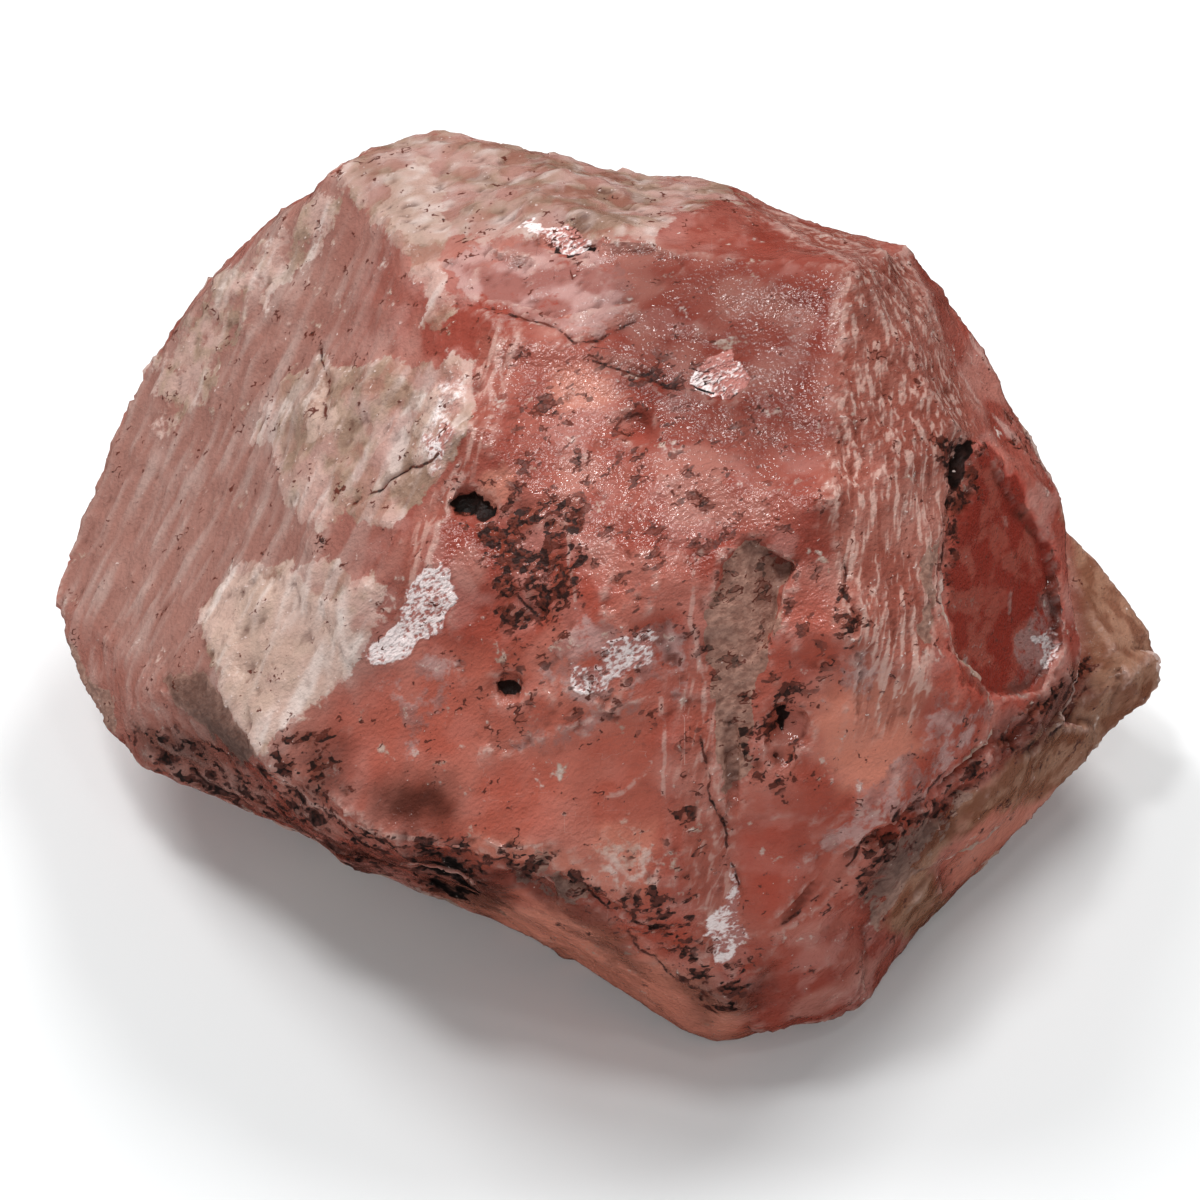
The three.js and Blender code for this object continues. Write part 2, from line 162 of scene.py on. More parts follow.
# Patches of the broad face, as outlines in pixels of the 1200 x 1200 frame: softness in pixels,
# strength, corners.
PATCHES = {
    "pale": [
        (9, 1.0, [(255, 440), (262, 405), (290, 380), (325, 355), (345, 372), (385, 360),
                  (430, 365), (455, 352), (472, 372), (470, 415), (455, 455), (425, 490),
                  (395, 530), (370, 520), (345, 515), (318, 530), (300, 520), (288, 490),
                  (280, 455)]),
        (9, 1.0, [(200, 615), (232, 570), (262, 560), (285, 575), (320, 560), (360, 575),
                  (378, 600), (376, 635), (362, 662), (330, 690), (300, 712), (275, 740),
                  (255, 755), (235, 725), (222, 690), (210, 655)]),
        (12, 0.9, [(335, 182), (365, 148), (400, 132), (450, 128), (490, 138), (570, 152),
                   (640, 166), (690, 168), (745, 198), (700, 215), (660, 225), (655, 243),
                   (600, 240), (510, 238), (445, 240), (440, 270), (455, 310), (435, 345),
                   (425, 300), (405, 262), (385, 240), (370, 210)]),
        (14, 0.55, [(150, 360), (235, 260), (330, 190), (345, 215), (300, 270), (235, 340),
                    (200, 420), (160, 430)]),
        (10, 0.5, [(690, 172), (765, 205), (720, 212), (690, 200)]),
    ],
    "milk": [
        (10, 1.0, [(395, 170), (430, 160), (445, 200), (450, 238), (410, 240), (385, 215)]),
        (12, 0.9, [(205, 615), (235, 575), (300, 575), (345, 620), (370, 640), (330, 690),
                   (270, 745), (240, 735), (222, 680)]),
        (8, 0.6, [(430, 385), (465, 375), (460, 430), (425, 470), (415, 430)]),
        (8, 0.7, [(310, 395), (325, 380), (340, 410), (330, 450), (305, 440)]),
        (14, 0.4, [(590, 880), (600, 835), (640, 805), (660, 830), (655, 885)]),
    ],
    "lilac": [
        (10, 0.8, [(445, 262), (470, 245), (600, 245), (622, 265), (625, 300), (612, 332),
                   (575, 335), (530, 322), (500, 315), (465, 305)]),
        (20, 0.35, [(560, 600), (640, 590), (690, 620), (680, 700), (600, 710), (560, 680)]),
        (14, 0.5, [(535, 665), (600, 610), (672, 612), (690, 670), (600, 712), (545, 700)]),
        (9, 0.5, [(480, 750), (560, 722), (650, 688), (656, 706), (570, 742), (488, 768)]),
        (12, 0.4, [(380, 690), (430, 650), (470, 660), (440, 720), (400, 760)]),
        (10, 0.5, [(1030, 590), (1062, 600), (1056, 660), (1030, 690), (1005, 690), (1020, 640)]),
        (16, 0.45, [(840, 640), (900, 660), (900, 700), (820, 700)]),
        (14, 0.5, [(860, 790), (940, 700), (1000, 700), (930, 800), (860, 850), (800, 860)]),
    ],
    # Frosted breaks: whitish, and their white flecks are partly painted glints.
    "frost_and_glints": [
        (4, 1.0, [(365, 662), (372, 650), (400, 625), (405, 600), (420, 570), (448, 560),
                  (450, 590), (456, 605), (430, 640), (395, 660)]),
        (5, 0.8, [(565, 685), (568, 665), (600, 655), (612, 635), (650, 628), (662, 640),
                  (655, 665), (630, 672), (600, 698), (578, 698)]),
        (4, 0.9, [(1030, 640), (1045, 628), (1065, 640), (1058, 660), (1042, 668)]),
        (3, 0.9, [(688, 385), (700, 362), (735, 352), (748, 375), (740, 392), (700, 395)]),
        (3, 0.9, [(515, 228), (560, 224), (597, 240), (580, 246), (550, 243)]),
        (4, 0.7, [(730, 855), (745, 900), (742, 950), (712, 965), (705, 930), (722, 900)]),
        (8, 0.5, [(440, 370), (470, 380), (455, 450), (420, 490), (425, 430)]),
    ],
    "grey": [
        (4, 1.0, [(745, 533), (765, 550), (785, 580), (780, 610), (770, 640), (755, 700),
                  (745, 770), (728, 800), (712, 760), (715, 700), (705, 650), (710, 600),
                  (722, 560)]),
        (4, 1.0, [(765, 552), (797, 563), (785, 592)]),
        (5, 1.0, [(158, 680), (200, 666), (222, 700), (258, 758), (240, 760), (190, 715)]),
        (3, 0.9, [(932, 535), (942, 540), (938, 590), (930, 645), (921, 640), (926, 580)]),
        (8, 0.5, [(500, 855), (545, 850), (590, 880), (610, 905), (560, 905), (510, 885)]),
        (8, 0.8, [(40, 620), (75, 640), (85, 675), (110, 690), (112, 730), (60, 700)]),
        (8, 0.6, [(860, 900), (900, 830), (960, 790), (985, 800), (930, 850), (880, 930)]),
    ],
    "deep": [
        (7, 1.0, [(950, 500), (962, 450), (990, 445), (1020, 480), (1055, 545), (1068, 600),
                  (1060, 650), (1035, 690), (1000, 700), (960, 690), (945, 650), (948, 570)]),
        (16, 0.35, [(480, 765), (600, 728), (655, 740), (650, 800), (610, 830), (520, 830),
                    (470, 805)]),
        (16, 0.45, [(738, 830), (780, 825), (800, 860), (790, 905), (760, 915), (740, 880)]),
        (8, 0.3, [(945, 870), (960, 835), (1000, 800), (1060, 775), (1090, 765), (1035, 820),
                  (985, 866), (948, 898)]),
        (16, 0.3, [(330, 700), (420, 665), (470, 690), (470, 760), (380, 790), (320, 760)]),
    ],
    "rim": [
        (8, 1.0, [(1062, 500), (1100, 555), (1175, 640), (1175, 700), (1150, 720), (1110, 735),
                  (1085, 772), (1040, 800), (1000, 812), (960, 830), (930, 870), (950, 905),
                  (915, 940), (885, 925), (905, 870), (940, 820), (1000, 770), (1040, 735),
                  (1085, 690), (1088, 650), (1080, 580)]),
    ],
    # Painted shade: the top band, the upper right faces and the lower-left undercut are darkened.
    "painted_shade": [
        (16, 0.55, [(335, 182), (400, 125), (560, 140), (760, 190), (900, 240), (870, 275),
                    (700, 225), (500, 240), (420, 250)]),
        (18, 0.7, [(845, 240), (910, 240), (960, 300), (930, 330), (880, 330), (845, 330)]),
        (40, 1.0, [(620, 240), (840, 270), (830, 440), (760, 470), (640, 420), (600, 320)]),
        (30, 0.5, [(840, 320), (930, 330), (990, 430), (900, 480), (840, 420)]),
        (18, 0.6, [(120, 740), (200, 730), (300, 800), (400, 845), (520, 870), (500, 930),
                   (380, 900), (200, 810)]),
    ],
    "stripe": [
        (10, 1.0, [(838, 270), (905, 252), (940, 340), (975, 430), (950, 470), (948, 540),
                   (935, 640), (920, 720), (860, 740), (850, 660), (830, 560), (822, 470),
                   (835, 380)]),
        (10, 0.8, [(740, 205), (850, 235), (910, 252), (870, 270), (800, 245)]),
        (14, 0.6, [(670, 640), (720, 650), (730, 800), (740, 950), (700, 960), (680, 820)]),
        (10, 0.7, [(480, 330), (520, 330), (490, 430), (430, 560), (395, 620), (400, 560),
                   (460, 450)]),
    ],
    # Painted glow and highlights: light that comes through the stone, painted into its colour.
    "painted_glow": [
        (18, 1.0, [(820, 690), (870, 670), (910, 690), (920, 740), (890, 790), (840, 790),
                   (820, 750)]),
        (10, 0.5, [(545, 395), (555, 368), (600, 372), (625, 395), (590, 410), (560, 408)]),
        (6, 0.5, [(478, 503), (480, 478), (500, 465), (515, 480), (508, 503)]),
        (14, 0.7, [(470, 830), (540, 845), (640, 880), (640, 900), (540, 862), (460, 848)]),
        (10, 0.5, [(945, 870), (960, 835), (1000, 800), (1060, 775), (1090, 765), (1035, 820),
                   (985, 866), (948, 898)]),
        (26, 0.2, [(340, 720), (420, 665), (560, 640), (650, 700), (660, 880), (560, 850),
                   (420, 835)]),
        (16, 0.8, [(590, 850), (600, 825), (655, 820), (650, 885)]),
        (20, 1.0, [(430, 890), (560, 905), (740, 1010), (740, 1055), (540, 985)]),
    ],
    # Painted glow: the lower half, the undercut and the lower left are painted warmer and lighter
    # for light that comes through the stone.
    "painted_warm_glow": [
        (40, 1.0, [(250, 760), (330, 690), (480, 620), (620, 560), (800, 600), (940, 640),
                   (1010, 740), (940, 840), (800, 960), (640, 980), (480, 900), (300, 830)]),
        (20, 1.0, [(450, 895), (560, 910), (720, 1010), (800, 1040), (720, 1060), (540, 980)]),
        (20, 0.7, [(60, 600), (150, 680), (260, 770), (300, 850), (150, 800), (60, 700)]),
    ],
    "dirt": [
        (14, 1.0, [(445, 505), (492, 495), (520, 505), (545, 490), (578, 500), (588, 560),
                   (575, 610), (545, 640), (505, 630), (485, 580), (470, 540)]),
        (10, 0.9, [(295, 805), (258, 765), (285, 735), (340, 730), (352, 800), (330, 828)]),
        (8, 0.7, [(262, 770), (300, 800), (380, 832), (540, 850), (640, 898), (730, 1000),
                  (700, 1000), (640, 930), (540, 880), (400, 860), (300, 825)]),
        (8, 0.9, [(690, 955), (745, 955), (748, 1000), (720, 1015), (690, 990)]),
        (8, 1.0, [(1000, 748), (1010, 720), (1050, 690), (1085, 650), (1092, 670), (1060, 720),
                  (1010, 755)]),
        (6, 1.0, [(942, 437), (985, 437), (985, 475), (962, 515), (950, 605), (943, 520)]),
        (8, 0.7, [(838, 560), (862, 620), (852, 660), (835, 640), (828, 580)]),
        (10, 0.7, [(735, 690), (800, 690), (805, 780), (770, 800), (735, 760)]),
        (40, 0.35, [(500, 340), (700, 340), (830, 520), (850, 700), (700, 760), (480, 720),
                    (480, 560)]),
        (12, 0.6, [(120, 725), (210, 735), (280, 795), (400, 850), (500, 870), (470, 900),
                   (350, 880), (170, 790)]),
        (8, 0.7, [(1003, 408), (1048, 450), (1040, 482), (1005, 440)]),
        (8, 0.8, [(860, 850), (900, 810), (960, 775), (1000, 740), (1005, 760), (960, 800),
                  (900, 850), (870, 900), (850, 890)]),
        (12, 0.5, [(660, 790), (700, 800), (700, 960), (670, 940), (665, 870)]),
        (12, 0.5, [(590, 345), (700, 385), (690, 400), (585, 362)]),
        (12, 0.5, [(620, 840), (700, 900), (690, 980), (640, 920)]),
    ],
    "black": [
        (3, 1.0, [(446, 499), (478, 496), (495, 504), (490, 514), (455, 512)]),
        (4, 1.0, [(500, 684), (512, 678), (524, 688), (516, 697), (504, 692)]),
        (3, 0.9, [(772, 712), (786, 700), (792, 712), (780, 735)]),
        (4, 0.9, [(955, 445), (975, 440), (978, 455), (962, 470), (950, 490)]),
        (8, 0.6, [(415, 848), (455, 856), (488, 900), (455, 905), (428, 882)]),
        (3, 0.8, [(690, 384), (730, 386), (745, 378), (735, 396), (700, 394)]),
        (2, 0.9, [(540, 242), (597, 240), (590, 247), (556, 248)]),
    ],
    # Dark brown smudges, with painted shadow under the sharp lower edge and painted shade on the
    # undercut.
    "smudge_and_shade": [
        (6, 0.6, [(158, 680), (200, 668), (222, 702), (256, 758), (238, 762), (190, 715)]),
        (10, 0.4, [(130, 722), (190, 730), (225, 760), (200, 772), (150, 750)]),
        (9, 0.8, [(270, 812), (330, 842), (400, 862), (380, 872), (300, 850)]),
        (9, 0.6, [(500, 862), (560, 872), (620, 930), (660, 985), (630, 975), (570, 920),
                  (520, 890)]),
        (14, 0.6, [(660, 975), (730, 985), (770, 960), (760, 1010), (700, 1020)]),
        (12, 0.6, [(985, 735), (1050, 690), (1085, 655), (1095, 680), (1060, 730), (1000, 765)]),
        (12, 0.6, [(860, 880), (900, 835), (960, 790), (950, 830), (890, 890), (870, 930)]),
        (22, 0.9, [(370, 790), (400, 772), (450, 785), (455, 815), (420, 830), (380, 820)]),
        (12, 0.7, [(400, 845), (470, 855), (520, 890), (490, 915), (430, 895)]),
        (10, 0.5, [(195, 785), (290, 835), (300, 855), (240, 845), (200, 805)]),
        (14, 0.5, [(300, 730), (350, 725), (360, 790), (310, 800)]),
    ],
}

# Seams and cracks of the broad face: half width in pixels, a pale seam (1) or a dark crack (-1),
# points along it.
SEAMS = [
    (2.2, 1, [(517, 330), (503, 424), (451, 493), (430, 562)]),
    (1.6, 1, [(500, 340), (488, 420), (436, 500)]),
    (1.5, 1, [(480, 752), (531, 735), (583, 724), (649, 695)]),
    (1.5, 1, [(660, 700), (664, 760), (668, 840), (655, 885)]),
    (1.3, 1, [(603, 796), (625, 790), (650, 770)]),
    (1.6, 1, [(608, 830), (600, 850), (632, 878)]),
    (1.8, 1, [(735, 210), (790, 235), (858, 268)]),
    (1.5, 1, [(765, 208), (830, 238), (890, 256)]),
    (2.2, 1, [(904, 250), (922, 290), (944, 350), (975, 402), (1016, 440), (1046, 475)]),
    (1.6, 1, [(958, 312), (975, 345), (1000, 385), (1030, 430)]),
    (1.3, 1, [(629, 444), (646, 461)]),
    (1.5, 1, [(260, 762), (307, 799), (371, 830), (411, 838), (494, 850), (540, 847)]),
    (1.5, 1, [(840, 275), (843, 330), (845, 385), (838, 402)]),
    (1.4, 1, [(1005, 520), (1012, 570), (1006, 610)]),
    (1.3, 1, [(565, 500), (570, 560), (575, 600)]),
    (1.8, 1, [(696, 560), (690, 620), (705, 680), (700, 760)]),
    (1.5, -1, [(437, 453), (410, 468), (380, 490), (352, 505)]),
    (1.4, -1, [(451, 304), (503, 312), (520, 318), (557, 327), (574, 341), (594, 338), (626, 325),
               (643, 318)]),
    (2.0, -1, [(614, 430), (623, 418), (637, 413), (647, 420), (643, 433)]),
    (2.0, -1, [(520, 595), (540, 625)]),
    (2.2, -1, [(953, 470), (962, 509), (944, 552), (940, 600)]),
    (1.8, -1, [(560, 853), (600, 900), (640, 950), (680, 985)]),
    (1.8, -1, [(778, 928), (821, 896), (867, 839), (896, 833)]),
    (1.5, -1, [(893, 833), (890, 864), (873, 893)]),
    (1.8, -1, [(700, 740), (712, 800), (728, 850), (740, 890)]),
    (1.6, -1, [(930, 790), (960, 760), (1010, 735), (1050, 700)]),
    (1.5, -1, [(1085, 690), (1065, 725), (1020, 755)]),
    (1.4, -1, [(554, 262), (571, 258), (572, 278)]),
    (1.4, -1, [(690, 386), (735, 394)]),
    (1.4, -1, [(540, 243), (597, 241)]),
    (1.6, -1, [(420, 846), (500, 858), (550, 866)]),
    (1.6, -1, [(135, 735), (200, 782), (280, 825), (360, 858), (420, 900)]),
    (1.4, -1, [(594, 361), (630, 368), (666, 384)]),
    (1.4, -1, [(847, 560), (850, 600), (862, 640)]),
    (1.5, -1, [(318, 350), (330, 380), (325, 420)]),
]


def beside(px, py, corners):
    """Signed distance in pixels to a line, FAR beyond its ends, and the distance to it."""
    best = np.full(px.shape, 1e9)
    side = np.full(px.shape, FAR)
    for (ax, ay), (bx, by) in zip(corners, corners[1:]):
        length = math.hypot(bx - ax, by - ay)
        along = ((px - ax) * (bx - ax) + (py - ay) * (by - ay)) / length
        off = ((px - ax) * (by - ay) - (py - ay) * (bx - ax)) / length
        past = np.maximum(0, np.maximum(-along, along - length))
        reach = np.hypot(off, past)
        closer = reach < best
        best = np.where(closer, reach, best)
        side = np.where(closer, np.where(past > 5, FAR, off), side)
    return side, best


def to_stone_axes(points):
    """Millimetres across the broad face, up it and out of it."""
    local = (points - np.array(AIM)) / MM
    return local @ np.array([1.0, 0, 0]), local @ np.array(UP), local @ np.array(OUT)


def sample(function, points):
    """The function's value at each point."""
    return np.array([function(Vector(p)) for p in points])


def fractal(points, size, shift, octaves, gain=1.0):
    """Soft noise with lumps of this size, around 0."""
    away = Vector((shift, shift, shift)) if isinstance(shift, (int, float)) else Vector(shift)
    return sample(lambda p: noise.fractal(p / size + away, gain, 2.0, octaves), points)


def to_middle(cloud):
    """The same noise around 0.5, mostly between 0 and 1."""
    return 0.5 + 0.168 * cloud / cloud.std()


def place_patches(px, py, mm, facing):
    """How strongly each kind of patch covers each point, and how near the seams and cracks are."""
    # A soft wobble of the outlines, so that no patch has a straight side.
    wobble_x = fractal(mm, 1.6, 0, 3, 0.8)
    wobble_y = fractal(mm, 1.6, (40, 7, 3), 3, 0.8)
    wx, wy = px + OUTLINE_WOBBLE * wobble_x, py + OUTLINE_WOBBLE * wobble_y
    masks = {}
    for name, patches in PATCHES.items():
        total = np.zeros(len(mm))
        for soft, strength, corners in patches:
            total = np.maximum(total, strength * smoothstep(inside(wx, wy, corners), -soft, soft))
        masks[name] = total * facing

    sx, sy = px + SEAM_WOBBLE * wobble_x, py + SEAM_WOBBLE * wobble_y
    for name, kind in (("seam", 1), ("crack", -1)):
        side, best = np.full(len(mm), FAR), np.full(len(mm), 1e9)
        for half, sort, corners in SEAMS:
            if sort == kind:
                new_side, new_best = beside(sx, sy, corners)
                closer = new_best / half < best
                side = np.where(closer, new_side / half, side)
                best = np.where(closer, new_best / half, best)
        masks[name] = np.where(facing < 0.3, FAR, side)
        masks[name + "_lift"] = np.clip(1 - best / 4, 0, 1) * facing
    return masks


def relaxed(values, edges, rounds):
    """Values at the points, evened out between neighbours."""
    count = np.bincount(edges.ravel(), minlength=len(values))[:, None]
    for _ in range(rounds):
        summed = np.zeros_like(values)
        np.add.at(summed, edges[:, 0], values[edges[:, 1]])
        np.add.at(summed, edges[:, 1], values[edges[:, 0]])
        values = 0.5 * values + 0.5 * summed / count
    return values


def grain(mm, across, up, out):
    """Ribs that run up the ribbed band, and streaks that lean across the left flank."""
    upright = np.stack([across * 1.5, up * 0.16, out * 1.5], 1)
    rib = sample(lambda p: noise.fractal(p, 0.7, 2.1, 3), upright)
    side = across * math.cos(STREAK_LEAN) - up * math.sin(STREAK_LEAN)
    length = across * math.sin(STREAK_LEAN) + up * math.cos(STREAK_LEAN)
    leaning = np.stack([side * 0.8, length * 0.14, out * 0.8], 1)
    streak = sample(lambda p: noise.fractal(p, 0.8, 2.0, 3), leaning)
    return rib, streak


def flakes(mm, size, seed):
    """Flat flakes: each cell of the break is a small plane with its own lean and step."""
    heights = np.empty(len(mm))
    for i, p in enumerate(mm):
        q = Vector(p) / size + Vector((seed, seed, seed))
        home = noise.voronoi(q)[1][0]
        lean = noise.cell_vector(home * 7.31) - Vector((0.5, 0.5, 0.5))
        heights[i] = lean.dot(q - home) * 1.5 + noise.cell(home * 3.77) * 0.35
    return heights


def hollows(mm, size):
    """Distance to the middle of the nearest cell: small hollows that meet in crests."""
    return np.array([noise.voronoi(Vector(p) / size)[0][0] for p in mm])


def lifted(mm, masks, ridge, rib, streak, flank):
    """How far each point moves out of the even surface, in mm."""
    chips, small_chips, pits = hollows(mm, 2.6), hollows(mm, 0.95), hollows(mm, 1.3)
    broken = smoothstep(fractal(mm, 5, (1, 2, 3), 2), -0.15, 0.25)
    swell = fractal(mm, 5, 0, 3)
    grit = fractal(mm, 0.8, 0, 3, 0.6)
    step = fractal(mm, 3.2, 9, 3, 0.9)
    terrace = np.floor(step * 5) + smoothstep(step * 5 % 1, 0.8, 1.0)

    smooth = np.maximum(masks["deep"], 0.9 * masks["rim"])
    rough = 1 - 0.8 * smooth
    flaky = np.clip(masks["pale"] + 0.7 * masks["lilac"] + masks["frost_and_glints"] + 0.5 * ridge, 0, 1)
    hackly = 0.5 * masks["pale"] + masks["lilac"] + 0.6 * masks["dirt"] + 0.4 * ridge
    hackly = np.clip(hackly + 0.16 - smooth, 0, 1)

    cover = {
        "swell": swell,
        "chips": (chips**2 - 0.25) * broken * rough,
        "small chips": (small_chips**2 - 0.25) * np.clip(0.2 + flaky + 0.5 * ridge, 0, 1) * rough,
        "terraces": terrace * flaky,
        "flakes": flakes(mm, 3.4, 3.0) * hackly,
        "small flakes": flakes(mm, 1.2, 9.0) * hackly,
        "seams": masks.pop("seam_lift"),
        "cracks": masks.pop("crack_lift"),
        "pale skins": masks["pale"],
        "ribs": rib * masks["stripe"],
        "streaks": streak * flank * (1 - 0.6 * masks["pale"]),
        "grit": grit * rough,
        "black holes": masks["black"],
        "grey scar": masks["grey"],
        "pits": smoothstep(0.34 - pits, 0, 0.2) * masks["dirt"],
        "worn ridges": ridge * smoothstep(grit + 0.3 * swell, 0.05, 0.35),
    }
    return sum(RELIEF[name] * amount for name, amount in cover.items())


def weathered(bm):
    """Breaks the even surface up, and says where each kind of patch lies."""
    bm.verts.ensure_lookup_table()
    points = np.array([v.co for v in bm.verts])
    normals = np.array([v.normal for v in bm.verts])
    edges = np.array([[e.verts[0].index, e.verts[1].index] for e in bm.edges])
    across, up, out = to_stone_axes(points)
    px = FRAME_PIXELS / 2 + FOCUS_PIXELS * across / (CAMERA_AWAY - out)
    py = FRAME_PIXELS / 2 - FOCUS_PIXELS * up / (CAMERA_AWAY - out)
    towards = normals @ np.array(OUT)
    facing = smoothstep(towards, 0.02, 0.25)
    mm = points / MM
    masks = place_patches(px, py, mm, facing)

    # The sides and the back, which the broad face doesn't show, carry the same kinds of patch.
    away = 1 - facing
    one, other = fractal(mm, 9, 5, 3), fractal(mm, 7, (-20, 9, 1), 3)
    masks["pale"] += away * smoothstep(one, 0.18, 0.4) * 0.9
    masks["deep"] += away * smoothstep(-one, 0.2, 0.5) * 0.6
    masks["stripe"] += away * smoothstep(other, 0.15, 0.4) * 0.8
    masks["dirt"] += away * smoothstep(-other, 0.15, 0.6) * 0.5
    masks["rim"] = np.maximum(masks["rim"], smoothstep(across, 29.5, 31.5) * smoothstep(-out, 0, 6))

    # Ridges stand proud of their surroundings.
    proud = ((mm - relaxed(mm, edges, 14)) * normals).sum(1)
    ridge = smoothstep(proud, 0.03, 0.16) * (1 - 0.8 * masks["rim"])

    # Soft clouds of colour in the stone.
    clouds = (
        ("broad", 6, 2, 11),
        ("middle", 1.7, 3, 23),
        ("veins", 2.8, 4, 37),
        ("clump", 1.2, 3, 51),
        ("veil", 4.2, 2, 67),
    )
    for name, size, octaves, shift in clouds:
        masks[name] = to_middle(fractal(mm, size, shift, octaves, 0.8))

    rib, streak = grain(mm, across, up, out)
    masks["ribs"] = 0.5 + 0.11 * rib / rib.std()
    masks["streaks"] = 0.5 + 0.12 * streak / streak.std()
    flank = smoothstep(-across, 8, 20)
    masks["flank"] = flank * smoothstep(towards, 0.25, 0.5)

    # The resting face stays flat.
    lift = lifted(mm, masks, ridge, rib, streak, flank)
    height = points[:, 2] / MM
    moved = points + normals * (lift * smoothstep(height, FLAT_BELOW, ROUGH_ABOVE) * MM)[:, None]
    moved[:, 2] = np.maximum(moved[:, 2], np.where(height < FLAT_BELOW, 0, 0.02 * MM))
    for vert, place in zip(bm.verts, moved):
        vert.co = place

    # On the broken surface, small edges stand out and small crevices lie back.
    bm.normal_update()
    normals = np.array([v.normal for v in bm.verts])
    mm = moved / MM
    proud = ((mm - relaxed(mm, edges, 4)) * normals).sum(1)
    masks["edge"] = smoothstep(proud, 0.02, 0.09)
    masks["crevice"] = smoothstep(-proud, 0.015, 0.08)
    return masks


def make_stone():
    bm = remeshed_copy(stone_node)
    masks = weathered(bm)
    for name, values in masks.items():
        layer = bm.verts.layers.float.new(name)
        for vert, value in zip(bm.verts, values):
            vert[layer] = value
    for edge in bm.edges:
        edge.smooth = edge.calc_face_angle(0) < SHARP_EDGE
    for face in bm.faces:
        face.smooth = True
    mesh = bpy.data.meshes.new("morganite_stone")
    bm.to_mesh(mesh)
    bm.free()
    stone = bpy.data.objects.new("morganite_stone", mesh)
    bpy.context.collection.objects.link(stone)
    return stone


# ---- finishes ----


def tint(red, green, blue):
    """A colour as seen on a screen, 0 to 255, in the shader's linear numbers."""
    shown = (red / 255, green / 255, blue / 255)
    linear = (c / 12.92 if c <= 0.04045 else ((c + 0.055) / 1.055) ** 2.4 for c in shown)
    return (*linear, 1.0)


BRICK, ROSE, DARK_BRICK = tint(164, 78, 65), tint(178, 101, 88), tint(154, 64, 50)
PALE_ROSE, VEIL = tint(202, 140, 130), tint(214, 156, 142)
# The streak colour is partly painted sheen.
FLANK, FLANK_STREAK_AND_SHEEN = tint(172, 128, 116), tint(206, 180, 170)
WINDOW_DARK, WINDOW_LIGHT = tint(196, 76, 62), tint(222, 112, 94)
# The two colours below are painted glow of light that comes through the stone.
PAINTED_GLOW_SALMON, PAINTED_WARM_GLOW_TINT = tint(252, 174, 148), tint(220, 106, 84)
BAND, BAND_LIGHT, BAND_DARK = tint(180, 112, 96), tint(236, 192, 178), tint(152, 76, 62)
LILAC_DARK, LILAC_LIGHT = tint(172, 120, 112), tint(212, 172, 166)
BUFF_DARK, BUFF_LIGHT = tint(140, 94, 70), tint(178, 134, 108)
SKIN_DARK, SKIN_LIGHT = tint(190, 162, 140), tint(220, 182, 170)
# The streak colour is partly painted highlight.
SKIN_STREAK_AND_HIGHLIGHT, SKIN_STAIN = tint(246, 228, 220), tint(150, 116, 98)
MILK_DARK, MILK_LIGHT = tint(226, 194, 178), tint(255, 236, 226)
SCAR_DARK, SCAR_LIGHT = tint(158, 116, 100), tint(192, 148, 130)
# The lighter frost colour is partly painted glint.
FROST_DARK, FROST_WHITE_AND_GLINT = tint(180, 118, 110), tint(248, 232, 230)
# The first of these is rubbed wear with painted highlight on edges, the last a painted glint.
EDGE_WEAR_AND_HIGHLIGHT, HEALED, PAINTED_GLINT = tint(226, 190, 178), tint(240, 204, 192), tint(246, 222, 214)
# The first of these is brown dirt with painted shade in crevices, the second dark smudges with
# painted shadow and shade.
CREVICE_DIRT_AND_SHADE, SMUDGE_AND_SHADE_TINT, STAIN = tint(92, 42, 30), tint(66, 32, 24), tint(132, 64, 44)
GRIME_DARK, GRIME_LIGHT, BLACK = tint(34, 14, 9), tint(104, 40, 24), tint(24, 17, 14)
# These two darken what lies under them: the first is painted shade, the second darkens the whole
# stone evenly.
PAINTED_SHADE_TINT, ALL_OVER = tint(204, 200, 200), tint(231, 230, 230)

BERYL_IOR = 1.58


class Flow:
    """One value that runs through a material. Sums and products of flows add Math nodes."""

    def __init__(self, finish, socket):
        self.finish = finish
        self.socket = socket

    def maths(self, operation, first, second=0.0):
        return self.finish.node("ShaderNodeMath", {"operation": operation}, {0: first, 1: second})

    def __add__(self, other):
        return self.maths("ADD", self, other)

    __radd__ = __add__

    def __mul__(self, other):
        return self.maths("MULTIPLY", self, other)

    __rmul__ = __mul__

    def __sub__(self, other):
        return self.maths("SUBTRACT", self, other)

    def __rsub__(self, other):
        return self.maths("SUBTRACT", other, self)

    def __abs__(self):
        return self.maths("ABSOLUTE", self)

    def between(self, low, high):
        """0 below low, 1 above high, and smooth from one to the other."""
        settings = {"interpolation_type": "SMOOTHSTEP"}
        inputs = {"Value": self, "From Min": low, "From Max": high}
        return self.finish.node("ShaderNodeMapRange", settings, inputs)

    def most(self, other):
        return self.maths("MAXIMUM", self, other)


